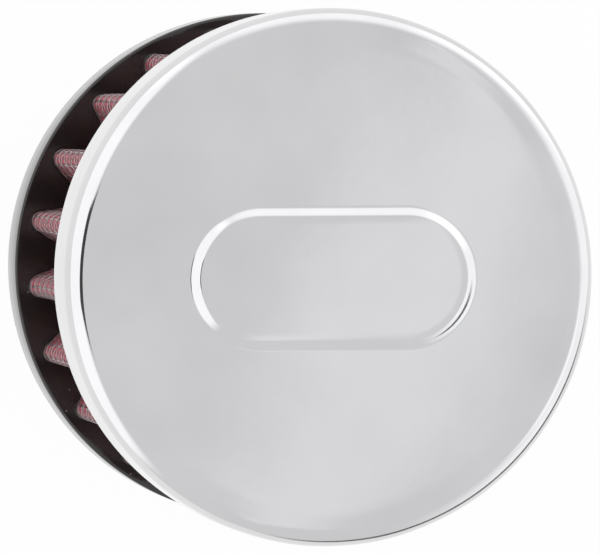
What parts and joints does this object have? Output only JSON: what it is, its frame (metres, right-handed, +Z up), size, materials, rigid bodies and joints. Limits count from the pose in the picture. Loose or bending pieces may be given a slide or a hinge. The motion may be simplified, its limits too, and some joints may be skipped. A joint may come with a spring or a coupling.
{
  "type": "crankcase breather filter",
  "caption": "Small round crankcase vent filter: chrome pressed cap over a ring of pleated red gauze and wire screen, cast into a black moulded base with a push-on neck.",
  "frame": {"origin": "centre of the neck's mouth, on the plane that the filter stands on", "axes": "+Z up the filter's axis, from the neck to the cap; +X along the blank badge on the cap"},
  "size_m": [0.0508, 0.0508, 0.0546],
  "materials": {
    "chrome_plate": "bright plated over pressed steel",
    "black_polyurethane": "moulded, semi-gloss",
    "oiled_gauze": "woven cotton gauze, red filter oil",
    "screen_wire": "woven wire, satin"
  },
  "bodies": {
    "root": {"rubber_base": "black_polyurethane", "outer_screen": "screen_wire", "cotton_gauze": "oiled_gauze", "inner_screen": "screen_wire", "cap_seal": "black_polyurethane", "top_cap": "chrome_plate"}
  },
  "joints": []
}
